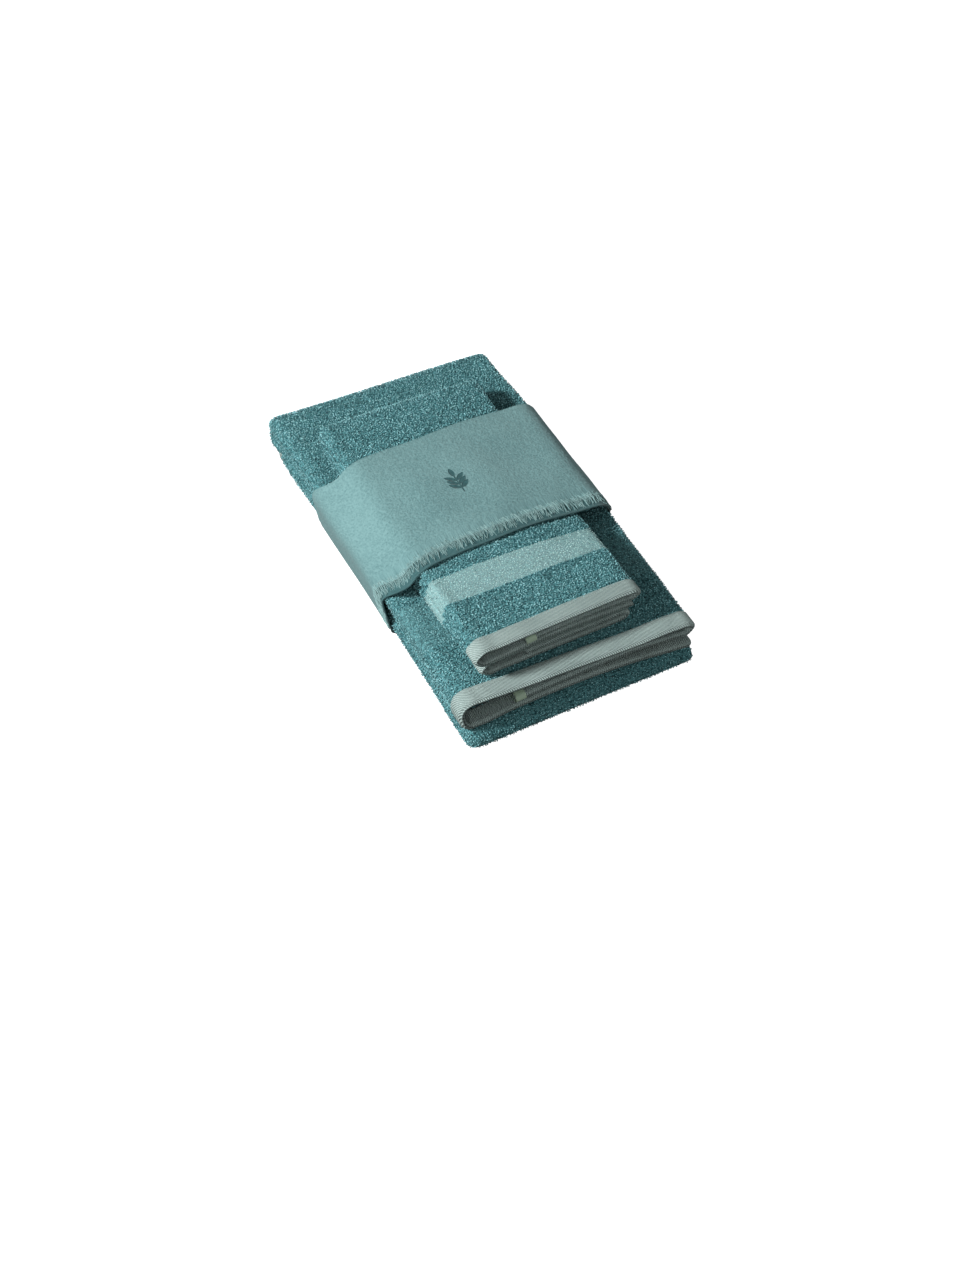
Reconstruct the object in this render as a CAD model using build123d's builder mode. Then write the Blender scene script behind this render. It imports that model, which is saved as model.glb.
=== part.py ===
"""Bath towel set: a folded bath towel, a folded hand towel on top of it, and a cloth band round both.

Millimetres. +X runs across the folded towels, -Y is the front where the hems show, +Z is up.
The origin is on the floor, under the middle of the bath towel.
"""

import os

from build123d import *

# ---- bath towel: folded in three across its width, then in three along its length ----
bath_width = 250.0
bath_length = 462.0
bath_layer = 6.2
bath_layer_gap = 0.6
bath_bundle_gap = 0.6
bath_flap_inset = 59.0
bath_edge_inset = 3.0
bath_hem_width = 18.0
bath_under_end_inset = 5.0

# ---- hand towel: folded in three across its width, then in half along its length ----
hand_width = 178.0
hand_length = 361.0
hand_layer = 5.6
hand_layer_gap = 0.5
hand_bundle_gap = 0.6
hand_flap_inset = 54.0
hand_edge_inset = 7.0
hand_hem_width = 17.0
hand_under_end_inset = 4.0
hand_front_setback = 27.0
hand_side_offset = -10.5

# ---- hem stitching and care labels ----
stitch_length = 3.0
stitch_pitch = 4.2
stitch_width = 0.6
stitch_height = 0.3
stitch_from_hem_edge = 3.0
label_width = 30.0
label_depth = 12.0
label_thickness = 0.4
label_from_front = 4.0

# ---- wrap band: an outer cloth and a lining, closed in a ring, frayed at the front edge ----
band_depth = 152.0
band_front_y = -66.0
band_outer_thickness = 0.6
band_lining_thickness = 0.4
band_lining_peek = 5.0
fringe_length = 11.0
join_side_offset = 60.0
join_row_spacing = 4.0
sprig_length = 36.0
sprig_leaf_length = 13.0
sprig_leaf_width = 5.6
sprig_stem_width = 1.2
sprig_leaf_angle = 50.0
sprig_leaf_pairs = 3
print_thickness = 0.3

# ---- fits ----
slide_clearance = 0.6

# ---- places that follow from the sizes above ----
band_thickness = band_outer_thickness + band_lining_thickness
bath_bundle = 3 * bath_layer + 2 * bath_layer_gap
hand_bundle = 3 * hand_layer + 2 * hand_layer_gap
bath_bend_radius = (bath_bundle + bath_bundle_gap) / 2
hand_bend_radius = (hand_bundle + hand_bundle_gap) / 2
bath_bend_reach = bath_bend_radius + bath_bundle / 2
hand_bend_reach = hand_bend_radius + hand_bundle / 2
bath_bottom_z = band_thickness + slide_clearance
bath_low_z = bath_bottom_z + bath_bundle / 2
bath_middle_z = bath_low_z + 2 * bath_bend_radius
bath_high_z = bath_middle_z + 2 * bath_bend_radius
bath_top_z = bath_high_z + bath_bundle / 2
bath_front_y = -bath_length / 2
bath_back_y = bath_length / 2
hand_bottom_z = bath_top_z + slide_clearance
hand_low_z = hand_bottom_z + hand_bundle / 2
hand_high_z = hand_low_z + 2 * hand_bend_radius
hand_top_z = hand_high_z + hand_bundle / 2
hand_front_y = bath_front_y + hand_front_setback
hand_back_y = hand_front_y + hand_length
band_top_z = hand_top_z + slide_clearance + band_thickness
band_back_y = band_front_y + band_depth


class Folded:
    """One towel's cross-section: three layers, the flap tucked in between the other two."""

    def __init__(self, width, layer, gap, flap_inset, edge_inset, centre_x):
        self.width = width
        self.layer = layer
        self.gap = gap
        self.flap_inset = flap_inset
        self.edge_inset = edge_inset
        self.centre_x = centre_x

    def face(self, y, z, flipped):
        """The folded section across the towel at y, facing the front; flipped has its top layer below."""
        side = -1 if flipped else 1
        half = self.layer / 2
        outer = 1.5 * self.layer + self.gap
        inner = half + self.gap
        left = -self.width / 2 + outer
        right_fold = self.layer + self.gap / 2
        right = self.width / 2 - right_fold
        flap_end = -self.width / 2 + self.flap_inset + half
        free_end = self.width / 2 - self.edge_inset - half
        plane = Plane(origin=(self.centre_x, y, z), x_dir=(1, 0, 0), z_dir=(0, -1, 0))
        with BuildSketch(plane) as section:
            with BuildLine():
                Line((free_end, -side * outer), (left, -side * outer))
                ThreePointArc((left, -side * outer), (left - outer, 0), (left, side * outer))
                Line((left, side * outer), (right, side * outer))
                fold_z = side * (outer - right_fold)
                ThreePointArc((right, side * outer), (right + right_fold, fold_z), (right, -side * half))
                Line((right, -side * half), (flap_end, -side * half))
                ThreePointArc((flap_end, -side * half), (flap_end - half, 0), (flap_end, side * half))
                Line((flap_end, side * half), (right, side * half))
                crease_z = side * (half + self.gap / 2)
                ThreePointArc((right, side * half), (right + self.gap / 2, crease_z), (right, side * inner))
                Line((right, side * inner), (left, side * inner))
                ThreePointArc((left, side * inner), (left - inner, 0), (left, -side * inner))
                Line((left, -side * inner), (free_end, -side * inner))
                cap_z = -side * (self.layer + self.gap)
                ThreePointArc((free_end, -side * inner), (free_end + half, cap_z), (free_end, -side * outer))
            make_face()
        return section.sketch


def save(built, name):
    """Writes one node's solids to a STEP file of its own."""
    built.part.label = name
    export_step(built.part, f"parts/{name}.step")


def hem(name, fold, back_y, z, flipped, width):
    """A twill binding round a towel's folded end, running forward from back_y."""
    with BuildPart() as binding:
        extrude(fold.face(back_y, z, flipped), amount=width)
    save(binding, name)


def hem_stitching(name, fold, y, z):
    """One sewn row across a hem, on the upper face of the bundle centred at height z."""
    bundle = 3 * fold.layer + 2 * fold.gap
    with BuildPart() as stitches:
        with BuildSketch(Plane.XY.offset(z + bundle / 2)):
            with Locations((fold.centre_x, y)):
                with GridLocations(stitch_pitch, 1, int((fold.width - bundle) / stitch_pitch), 1):
                    Rectangle(stitch_length, stitch_width)
        extrude(amount=stitch_height)
    save(stitches, name)


def care_label(name, fold, front_y, z):
    """A blank satin tab sewn under the tucked flap, half of it showing in the open loop."""
    flap_x = fold.centre_x + fold.flap_inset - fold.width / 2
    under_flap_z = z - (fold.layer + fold.gap) / 2 - label_thickness / 2
    with BuildPart() as tab:
        with BuildSketch(Plane.XY.offset(under_flap_z)):
            with Locations((flap_x, front_y + label_from_front + label_depth / 2)):
                Rectangle(label_width, label_depth)
        extrude(amount=label_thickness)
    save(tab, name)


os.makedirs("parts", exist_ok=True)

bath_fold = Folded(bath_width, bath_layer, bath_layer_gap, bath_flap_inset, bath_edge_inset, 0)
hand_fold = Folded(
    hand_width, hand_layer, hand_layer_gap, hand_flap_inset, hand_edge_inset, hand_side_offset
)

# ---- bath towel cloth: three bundles one above the other, joined by a bend at the back and one in front ----
back_bend_y = bath_back_y - bath_bend_reach
front_bend_y = bath_front_y + bath_bend_reach
top_hem_y = bath_front_y + bath_hem_width
under_end_y = bath_back_y - bath_under_end_inset
under_hem_y = under_end_y - bath_hem_width
with BuildPart() as bath_towel_cloth:
    extrude(bath_fold.face(back_bend_y, bath_high_z, False), amount=back_bend_y - top_hem_y)
    back_bend = Axis((0, back_bend_y, (bath_high_z + bath_middle_z) / 2), (-1, 0, 0))
    revolve(bath_fold.face(back_bend_y, bath_high_z, False), axis=back_bend, revolution_arc=180)
    extrude(bath_fold.face(back_bend_y, bath_middle_z, True), amount=back_bend_y - front_bend_y)
    front_bend = Axis((0, front_bend_y, (bath_middle_z + bath_low_z) / 2), (1, 0, 0))
    revolve(bath_fold.face(front_bend_y, bath_middle_z, True), axis=front_bend, revolution_arc=180)
    extrude(bath_fold.face(under_hem_y, bath_low_z, False), amount=under_hem_y - front_bend_y)
save(bath_towel_cloth, "bath_towel_cloth")

# ---- bath towel hems on the two short ends, one in front and one tucked under at the back ----
hem("bath_hem_front", bath_fold, top_hem_y, bath_high_z, False, bath_hem_width)
hem("bath_hem_back", bath_fold, under_end_y, bath_low_z, False, bath_hem_width)
hem_stitching("bath_hem_front_stitching", bath_fold, top_hem_y - stitch_from_hem_edge, bath_high_z)
hem_stitching("bath_hem_back_stitching", bath_fold, under_hem_y + stitch_from_hem_edge, bath_low_z)
care_label("bath_care_label", bath_fold, bath_front_y, bath_high_z)

# ---- hand towel cloth: two bundles joined by one bend at the back ----
hand_bend_y = hand_back_y - hand_bend_reach
upper_hem_y = hand_front_y + hand_hem_width
lower_end_y = hand_front_y + hand_under_end_inset
lower_hem_y = lower_end_y + hand_hem_width
with BuildPart() as hand_towel_cloth:
    extrude(hand_fold.face(hand_bend_y, hand_high_z, False), amount=hand_bend_y - upper_hem_y)
    hand_bend = Axis((0, hand_bend_y, (hand_high_z + hand_low_z) / 2), (-1, 0, 0))
    revolve(hand_fold.face(hand_bend_y, hand_high_z, False), axis=hand_bend, revolution_arc=180)
    extrude(hand_fold.face(hand_bend_y, hand_low_z, True), amount=hand_bend_y - lower_hem_y)
save(hand_towel_cloth, "hand_towel_cloth")

# ---- hand towel hems: both short ends meet at the front, one above the other ----
hem("hand_hem_upper", hand_fold, upper_hem_y, hand_high_z, False, hand_hem_width)
hem("hand_hem_lower", hand_fold, lower_hem_y, hand_low_z, True, hand_hem_width)
hem_stitching("hand_hem_upper_stitching", hand_fold, upper_hem_y - stitch_from_hem_edge, hand_high_z)
hem_stitching("hand_hem_lower_stitching", hand_fold, lower_hem_y - stitch_from_hem_edge, hand_low_z)
care_label("hand_care_label", hand_fold, hand_front_y, hand_high_z)


def towels_outline(plane, margin):
    """The hull of both stacks' rounded edges, drawn the given margin outside them."""
    bath_round = bath_bundle / 2
    bath_fold_round = bath_layer + bath_layer_gap / 2
    bath_fold_x = bath_width / 2 - bath_fold_round
    bath_fold_rise = bath_round - bath_fold_round
    free_round = bath_layer / 2
    free_x = bath_width / 2 - bath_edge_inset - free_round
    hand_round = hand_bundle / 2
    hand_fold_round = hand_layer + hand_layer_gap / 2
    hand_fold_x = hand_side_offset + hand_width / 2 - hand_fold_round
    edges = (
        (bath_round - bath_width / 2, bath_low_z, bath_round),
        (bath_round - bath_width / 2, bath_high_z, bath_round),
        (free_x, bath_low_z - bath_layer - bath_layer_gap, free_round),
        (bath_fold_x, bath_low_z + bath_fold_rise, bath_fold_round),
        (bath_fold_x, bath_high_z + bath_fold_rise, bath_fold_round),
        (hand_side_offset + hand_round - hand_width / 2, hand_high_z, hand_round),
        (hand_fold_x, hand_high_z + hand_round - hand_fold_round, hand_fold_round),
    )
    with BuildSketch(plane) as outline:
        with BuildLine():
            for x, z, radius in edges:
                CenterArc((x, z), radius + margin, 0, 360)
        make_hull()
    return outline.sketch


def ring(back_y, inner, outer, depth):
    """A closed ring of cloth round both towels, between two distances outside the slide clearance."""
    plane = Plane(origin=(0, back_y, 0), x_dir=(1, 0, 0), z_dir=(0, -1, 0))
    whole = extrude(towels_outline(plane, slide_clearance + outer), amount=depth, mode=Mode.PRIVATE)
    hole = extrude(towels_outline(plane, slide_clearance + inner), amount=depth, mode=Mode.PRIVATE)
    return whole - hole


def join_rows():
    """Centres of the stitches that close the band: two rows running from its front to its back."""
    return GridLocations(join_row_spacing, stitch_pitch, 2, int(band_depth / stitch_pitch))


# ---- wrap band: an outer cloth on a lining, sewn into a ring by two rows of stitches underneath ----
join_y = band_front_y + band_depth / 2
with BuildPart() as wrap_band:
    add(ring(band_back_y, band_lining_thickness, band_thickness, band_depth))
    with BuildSketch(Plane.XY):
        with Locations((join_side_offset, join_y)):
            with join_rows():
                Rectangle(stitch_width, stitch_length)
    extrude(amount=stitch_height, mode=Mode.SUBTRACT)
save(wrap_band, "wrap_band")

with BuildPart() as wrap_band_join_stitching:
    with BuildSketch(Plane.XY):
        with Locations((join_side_offset, join_y)):
            with join_rows():
                Rectangle(stitch_width, stitch_length)
    extrude(amount=stitch_height)
save(wrap_band_join_stitching, "wrap_band_join_stitching")

with BuildPart() as wrap_band_lining:
    add(ring(band_back_y, 0, band_lining_thickness, band_depth + fringe_length + band_lining_peek))
save(wrap_band_lining, "wrap_band_lining")

with BuildPart() as wrap_band_fringe:
    add(ring(band_front_y, band_lining_thickness, band_thickness, fringe_length))
save(wrap_band_fringe, "wrap_band_fringe")

# ---- printed sprig on the band's top: a stem with paired leaves and one leaf at its tip ----
with BuildSketch() as leaf:
    with BuildLine():
        ThreePointArc((0, 0), (sprig_leaf_width / 2, sprig_leaf_length / 2), (0, sprig_leaf_length))
        ThreePointArc((0, sprig_leaf_length), (-sprig_leaf_width / 2, sprig_leaf_length / 2), (0, 0))
    make_face()

stem_length = sprig_length - sprig_leaf_length
with BuildPart() as wrap_band_print:
    with BuildSketch(Plane.XY.offset(band_top_z)):
        with Locations((hand_side_offset, join_y - sprig_length / 2)):
            with Locations((0, stem_length / 2)):
                Rectangle(sprig_stem_width, stem_length + sprig_stem_width)
            with Locations((0, stem_length)):
                add(leaf.sketch)
            for pair in range(sprig_leaf_pairs):
                leaf_y = stem_length * (pair + 1) / (sprig_leaf_pairs + 1)
                left_leaf = Location((0, leaf_y, 0), (0, 0, sprig_leaf_angle))
                right_leaf = Location((0, leaf_y, 0), (0, 0, -sprig_leaf_angle))
                with Locations(left_leaf, right_leaf):
                    add(leaf.sketch)
    extrude(amount=print_thickness)
save(wrap_band_print, "wrap_band_print")

print("bath stack top", round(bath_top_z, 2), "hand stack top", round(hand_top_z, 2), "band top", band_top_z)
print("hand towel y", hand_front_y, hand_back_y, "band y", band_front_y, band_back_y)
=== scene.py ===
import math

import bpy
import numpy as np
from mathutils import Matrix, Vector
from mathutils.bvhtree import BVHTree


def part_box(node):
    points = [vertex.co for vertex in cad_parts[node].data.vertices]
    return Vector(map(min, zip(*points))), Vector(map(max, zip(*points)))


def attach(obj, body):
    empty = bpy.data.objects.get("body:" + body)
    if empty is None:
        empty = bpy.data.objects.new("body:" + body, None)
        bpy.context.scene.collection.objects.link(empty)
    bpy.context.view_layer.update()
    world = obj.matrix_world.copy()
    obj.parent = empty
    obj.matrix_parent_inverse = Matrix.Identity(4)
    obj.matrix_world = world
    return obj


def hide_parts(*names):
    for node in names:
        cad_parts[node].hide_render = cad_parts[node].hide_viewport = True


# Bath towel set: a folded bath towel, a folded hand towel on top of it, and a cloth band round both.
# Metres. +X runs across the folded towels, -Y is the front where the hems show, +Z is up.
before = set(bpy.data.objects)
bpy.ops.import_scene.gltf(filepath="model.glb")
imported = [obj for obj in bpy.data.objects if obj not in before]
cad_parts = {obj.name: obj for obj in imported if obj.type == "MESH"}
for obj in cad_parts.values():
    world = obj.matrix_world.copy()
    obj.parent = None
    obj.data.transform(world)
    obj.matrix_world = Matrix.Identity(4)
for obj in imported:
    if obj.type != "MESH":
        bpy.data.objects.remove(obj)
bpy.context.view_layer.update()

# ---- Bath towel cloth -------------------------------------------------------------------------
# A cotton terry towel, folded in three across its width with the loose flap tucked inside, then
# in three along its length. Its woven ground is one sheet from hem to hem, with a loop pile on
# both faces and two low-pile stripes near its ends.
bath_low, bath_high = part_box("bath_towel_cloth")
bath_hem_low, bath_hem_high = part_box("bath_hem_front")
bath_under_low, bath_under_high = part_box("bath_hem_back")
bath_bundle = bath_hem_high.z - bath_hem_low.z
bath_pitch = bath_bundle * 0.343
bath_rise = (bath_hem_low.z - bath_under_low.z) / 2
bath_outer = bath_bundle / 2
bath_width = bath_high.x - bath_low.x
bath_flap_inset = 0.059
bath_edge_inset = 0.003
bath_ground_half = 0.0019
bath_stripe = (0.081, 0.139)
bath_corner = 0.016
bath_slack_reach = 0.130
bath_top_length = 0.46
bath_swell = 0.0006
bath_side_swell = 0.0012
flap_round = 0.006
droop_start = 0.10
front_squash = 0.40
front_shift = 0.0110
back_droop = 0.0045
end_droop = 0.0013
lower_inset_left = 0.0070
lower_inset_right = 0.0030
# the pressed left-hand fold: how far it moves, how far above the bend, and how narrow it is
bath_pinch = (0.0034, 0.0, 0.0028)
bath_ridge = (0.0015, 0.0165, 0.0038)


def smooth(value):
    """Eases from 0 to 1, and stays there."""
    t = np.clip(value, 0, 1)
    return t * t * (3 - 2 * t)


def ripple(x, y, size, phase=0.0):
    """A gentle uneven swell from -1 to 1, with bumps of about the given size."""
    a = np.sin(x / size * 2.1 + 1.3 * np.sin(y / size * 1.1 + phase) + phase)
    b = np.sin(y / size * 1.7 + 1.9 * np.sin(x / size * 0.9 - phase) + 2.2 * phase)
    return 0.5 * (a + b)


def fold_line(width, pitch, outer, flap_inset, edge_inset, step, bend_steps):
    """Mid-line of a towel folded in three: rows of x, height and distance from the free edge."""
    left, right = -width / 2 + outer, width / 2 - pitch + pitch * 0.0441
    x = list(np.arange(width / 2 - edge_inset, left, -step))
    x[-1:] = [left + step * 0.4]
    rise = [-pitch] * len(x)
    for k in range(bend_steps + 1):
        turn = math.pi * k / bend_steps
        x.append(left - pitch * math.sin(turn))
        rise.append(-pitch * math.cos(turn))
    run = np.linspace(left, right, int((right - left) / step))[1:-1]
    x += list(run)
    rise += [pitch] * len(run)
    for k in range(bend_steps + 1):
        turn = math.pi * k / bend_steps
        x.append(right + pitch / 2 * math.sin(turn))
        rise.append(pitch / 2 + pitch / 2 * math.cos(turn))
    flap = np.arange(right - step, -width / 2 + flap_inset, -step)
    x += list(flap)
    rise += [0.0] * len(flap)
    x, rise = np.array(x), np.array(rise)
    distance = np.concatenate([[0], np.cumsum(np.hypot(np.diff(x), np.diff(rise)))])
    return np.stack([x, rise, distance], axis=1)


def fold_path(runs, step, bend_steps):
    """The towel's way from end to end: rows of y, height, the upward normal's y and z, and distance.

    Each run is (start y, end y, height); a half circle joins one run to the next.
    """
    rows = []
    up = 1.0
    for k, (start, end, height) in enumerate(runs):
        forward = 1.0 if end > start else -1.0
        for y in np.linspace(start, end, max(3, int(abs(end - start) / step))):
            rows.append((y, height, 0.0, up))
        if k + 1 < len(runs):
            radius = (height - runs[k + 1][2]) / 2
            for m in range(1, bend_steps):
                turn = math.pi * m / bend_steps
                out, high = forward * math.sin(turn), math.cos(turn)
                rows.append((end + radius * out, height - radius + radius * high, up * out, up * high))
            up = -up
    rows = np.array(rows)
    distance = np.concatenate([[0], np.cumsum(np.hypot(np.diff(rows[:, 0]), np.diff(rows[:, 1])))])
    return np.column_stack([rows, distance])


def slack_line(distance, posts):
    """A smooth line through posts of (distance, x, z), as the loose end of a folded towel hangs."""
    posts = np.array(posts)
    at, values = posts[:, 0], posts[:, 1:]
    slopes = np.gradient(values, at, axis=0)
    k = np.clip(np.searchsorted(at, distance, side="right") - 1, 0, len(at) - 2)
    gap = at[k + 1] - at[k]
    t = np.clip((distance - at[k]) / gap, 0, 1)[:, None]
    gap = gap[:, None]
    return (
        (2 * t**3 - 3 * t**2 + 1) * values[k]
        + (t**3 - 2 * t**2 + t) * gap * slopes[k]
        + (3 * t**2 - 2 * t**3) * values[k + 1]
        + (t**3 - t**2) * gap * slopes[k + 1]
    )


# where the bath towel's top bundle hangs open at its front hem: distance round the fold, x, z
bath_slack = [
    (0.000, 0.1235, 0.0325), (0.070, 0.050, 0.0385), (0.140, -0.020, 0.0380), (0.190, -0.068, 0.0345),
    (0.230, -0.104, 0.0295), (0.2385, -0.1135, 0.0300), (0.243, -0.1180, 0.0360), (0.2475, -0.1205, 0.0460),
    (0.253, -0.1188, 0.0540), (0.260, -0.1125, 0.0583), (0.272, -0.1005, 0.0589), (0.300, -0.072, 0.0585),
    (0.360, -0.012, 0.0583), (0.430, 0.058, 0.0583), (0.478, 0.105, 0.0603), (0.490, 0.1160, 0.0595),
    (0.4975, 0.1208, 0.0555), (0.504, 0.1160, 0.0500), (0.516, 0.103, 0.0500), (0.560, 0.060, 0.0527),
    (0.600, 0.020, 0.0512), (0.640, -0.020, 0.0478), (0.670, -0.050, 0.0452), (0.6875, -0.067, 0.0440),
]


def beside_bend(fold, amount, above, width):
    """An amount that fades away from a line round the fold, just above the left-hand bend."""
    line = fold[np.argmin(fold[:, 0]), 2] + above
    return amount * np.exp(-(((fold[:, 2] - line) / width) ** 2))[:, None]


def corner_inset(gap, radius, share=1.0):
    """How far a corner of the folded towel is rounded off in plan, at a gap from its end."""
    near = np.clip(1 - gap / radius, 0, 1)
    return share * radius * (1 - np.sqrt(1 - near**2)) * 0.8


def bath_shape(fold, path):
    """Where the bath towel's mid surface lies: one row for each point round the fold."""
    across, rise = fold[:, None, 0], fold[:, None, 1]
    y0, z0, up_y, up_z, along = path.T
    x = across + 0 * y0
    y = y0 + up_y * rise
    z = z0 + up_z * rise
    # the two lower bundles lie a little inside the top one, and their bends are rounded in plan
    lower = smooth((along - bath_top_length) / 0.05) + 0 * x
    from_front = y - bath_low.y
    from_back = bath_high.y - y
    leftness = np.clip(0.5 - x / bath_width, 0, 1)
    inset = lower_inset_left * lower * leftness - lower_inset_right * lower * (1 - leftness)
    for gap, share in ((from_back, 1.0), (from_front, lower * leftness)):
        inset = inset + corner_inset(gap, bath_corner, share)
    x = x * (1 - inset / bath_high.x)
    # the front end: the lower bundles are pressed down, and the hemmed end of the top one springs open
    joint = bath_hem_low.z - 0.0003
    press = front_squash * smooth(1 - from_front / (bath_slack_reach + 0.02))
    z = np.where(
        z < joint,
        bath_low.z + (z - bath_low.z) * (1 - press),
        z - (joint - bath_low.z) * press * np.clip((bath_high.z - z) / (bath_high.z - joint), 0, 1),
    )
    slack = slack_line(fold[:, 2], bath_slack)
    ease = smooth(1 - (along - 0.006) / bath_slack_reach) * (along < 0.4)
    x = x + (slack[:, None, 0] - x) * ease
    x = x + beside_bend(fold, *bath_pinch) * (1 - ease)
    z = z + beside_bend(fold, *bath_ridge) * (1 - ease)
    near_end = np.clip(1 - fold[:, 2] / flap_round, 0, 1)
    y = y + flap_round * (1 - np.sqrt(1 - near_end**2))[:, None] * smooth(1 - along / 0.02)
    z = z + (slack[:, None, 1] - z) * ease
    y = y - front_shift * lower * leftness * smooth(1 - from_front / 0.09)
    # the back end sinks, the ends rest on the floor, and the whole is never quite flat
    high = np.clip(z / bath_high.z, 0, 1)
    z = z - back_droop * high * smooth((y - droop_start) / 0.12)
    ends = smooth((np.abs(y) - droop_start) / 0.10)
    z = z - end_droop * ends * (1 - high)
    z = z + bath_swell * high * ripple(x, y, 0.055, 0.4)
    x = x + bath_side_swell * ripple(y, z, 0.045, 1.1) * np.clip(np.abs(x) / bath_high.x, 0, 1) ** 4
    return np.stack([x, y, z], axis=-1)


def placed(name, data):
    """A new object in the scene, made of a mesh, a lamp or a camera."""
    made = bpy.data.objects.new(name, data)
    bpy.context.scene.collection.objects.link(made)
    return made


def keep_vectors(mesh, label, values):
    """Stores a vector for each point of a mesh."""
    mesh.attributes.new(label, "FLOAT_VECTOR", "POINT").data.foreach_set("vector", values.ravel())


def sheet_mesh(name, middle, half, across, along):
    """A closed sheet of cloth either side of its mid surface, which keeps its place when laid flat."""
    by_fold = np.gradient(middle, axis=0)
    by_path = np.gradient(middle, axis=1)
    normal = np.cross(by_path, by_fold)
    normal /= np.linalg.norm(normal, axis=2)[..., None]
    rows, columns = middle.shape[:2]
    faces_up = (middle + normal * half[..., None]).reshape(-1, 3)
    faces_down = (middle - normal * half[..., None]).reshape(-1, 3)
    index = np.arange(rows * columns).reshape(rows, columns)
    a, b = index[:-1, :-1].ravel(), index[1:, :-1].ravel()
    c, d = index[1:, 1:].ravel(), index[:-1, 1:].ravel()
    upper = np.stack([a, d, c, b], axis=1)
    lower = np.stack([a, b, c, d], axis=1) + rows * columns
    rim = np.concatenate([index[:, 0], index[-1, 1:], index[-2::-1, -1], index[0, -2:0:-1]])
    follow = np.roll(rim, -1)
    below = rows * columns
    edge = np.stack([rim, rim + below, follow + below, follow], axis=1)
    points = np.concatenate([faces_up, faces_down])
    quads = np.concatenate([upper, lower, edge])
    # turn every face the other way if the shell came out inside out
    p = points[quads]
    volume = np.einsum("ij,ij->i", p[:, 0], np.cross(p[:, 1], p[:, 2])).sum()
    volume += np.einsum("ij,ij->i", p[:, 0], np.cross(p[:, 2], p[:, 3])).sum()
    if volume < 0:
        quads = quads[:, ::-1]
    mesh = bpy.data.meshes.new(name)
    mesh.vertices.add(len(points))
    mesh.vertices.foreach_set("co", points.ravel())
    mesh.loops.add(quads.size)
    mesh.loops.foreach_set("vertex_index", quads.ravel())
    mesh.polygons.add(len(quads))
    mesh.polygons.foreach_set("loop_start", np.arange(0, quads.size, 4))
    mesh.polygons.foreach_set("loop_total", np.full(len(quads), 4))
    mesh.update(calc_edges=True)
    mesh.polygons.foreach_set("use_smooth", np.ones(len(quads), dtype=bool))
    width = across[-1] if across[-1] > 0 else 1.0
    flat_x = np.repeat(across, columns)
    flat_y = np.tile(along, rows)
    side = np.concatenate([np.zeros(below), np.ones(below)])
    flat = np.stack([np.tile(flat_x, 2), np.tile(flat_y, 2), side], axis=1)
    keep_vectors(mesh, "flat_at", flat)
    bake = mesh.uv_layers.new(name="OFBake")
    u = flat[:, 0] / width * 0.49 + 0.505 * side
    v = (flat[:, 1] - along.min()) / max(along.max() - along.min(), 1e-6)
    corner_uv = np.stack([u, v], axis=1)[quads.ravel()]
    bake.data.foreach_set("uv", corner_uv.ravel())
    return placed(name, mesh)


cloth_edge = 0.0018


def edge_ease(distance, total, radius):
    """From a rounded edge to the full thickness, over the given radius at both ends."""
    near = np.minimum(distance, total - distance)
    t = np.clip(near / radius, 0, 1)
    return np.sqrt(np.clip(1 - (1 - t) ** 2, 0.03, 1))


def terry_sheet(name, fold, path, shape, half, hem_width, overlap):
    """A towel's woven ground: one sheet that ends a little way under the binding at both ends."""
    length = path[-1, 4]
    rows = path[(path[:, 4] > hem_width - overlap) & (path[:, 4] < length - hem_width + overlap)]
    thick = half * edge_ease(fold[:, 2], fold[-1, 2], cloth_edge)[:, None] + 0 * rows[:, 4]
    return sheet_mesh(name, shape(fold, rows), thick, fold[:, 2], rows[:, 4])


bath_back_bend = bath_high.y - bath_rise / 2 - bath_outer
bath_front_bend = bath_low.y + bath_rise / 2 + bath_outer
bath_runs = [
    (bath_hem_low.y, bath_back_bend, bath_hem_high.z - bath_outer),
    (bath_back_bend, bath_front_bend, bath_under_high.z - bath_outer + bath_rise),
    (bath_front_bend, bath_under_high.y, bath_under_high.z - bath_outer),
]
bath_section = (bath_width, bath_pitch, bath_outer, bath_flap_inset, bath_edge_inset)
bath_fold = fold_line(*bath_section, 0.006, 9)
bath_path = fold_path(bath_runs, 0.006, 10)
bath_length = bath_path[-1, 4]
bath_hem_width = bath_hem_high.y - bath_hem_low.y
bath_towel = terry_sheet(
    "bath_terry_sheet", bath_fold, bath_path, bath_shape, bath_ground_half, bath_hem_width, 0.004
)

# ---- Bath towel pile --------------------------------------------------------------------------
# Uncut loops of combed cotton stand on every face of the towel that shows, drawn up out of its
# woven ground. They are shorter and paler in the two stripes.
pile_spacing = 0.0021
pile_height = 0.0016
yarn_radius = 0.00043
# loop colours: the root colour is painted shade between the loops, the tip colours are painted highlights,
# and the side colours are the cotton's own
terry_root_shade = (0.010, 0.054, 0.062)
terry_side = (0.126, 0.330, 0.352)
terry_tip_highlight = (0.340, 0.660, 0.695)
stripe_side = (0.380, 0.580, 0.570)
stripe_tip_highlight = (0.560, 0.790, 0.780)
clump_scale = 460.0
bath_stripe_share = 0.10
loop_lean = 0.75
stripe_drop = 0.30
most_loops = 3000000.0
cover_reach = 0.0035
underside = -0.35
floor_gap = 0.0026


def put(tree, kind, wired=None, **settings):
    """Adds a node to a tree; wired gives each named or numbered input a value or a link."""
    made = tree.nodes.new(kind)
    for key, value in settings.items():
        setattr(made, key, value)
    for key, value in (wired or {}).items():
        if isinstance(value, bpy.types.NodeSocket):
            tree.links.new(value, made.inputs[key])
        else:
            made.inputs[key].default_value = value
    return made


def math_of(tree, operation, a, b=0.0):
    """The result of one sum on two values."""
    return put(tree, "ShaderNodeMath", {0: a, 1: b}, operation=operation).outputs[0]


def times(tree, a, b):
    """One value multiplied by another."""
    return math_of(tree, "MULTIPLY", a, b)


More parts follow.
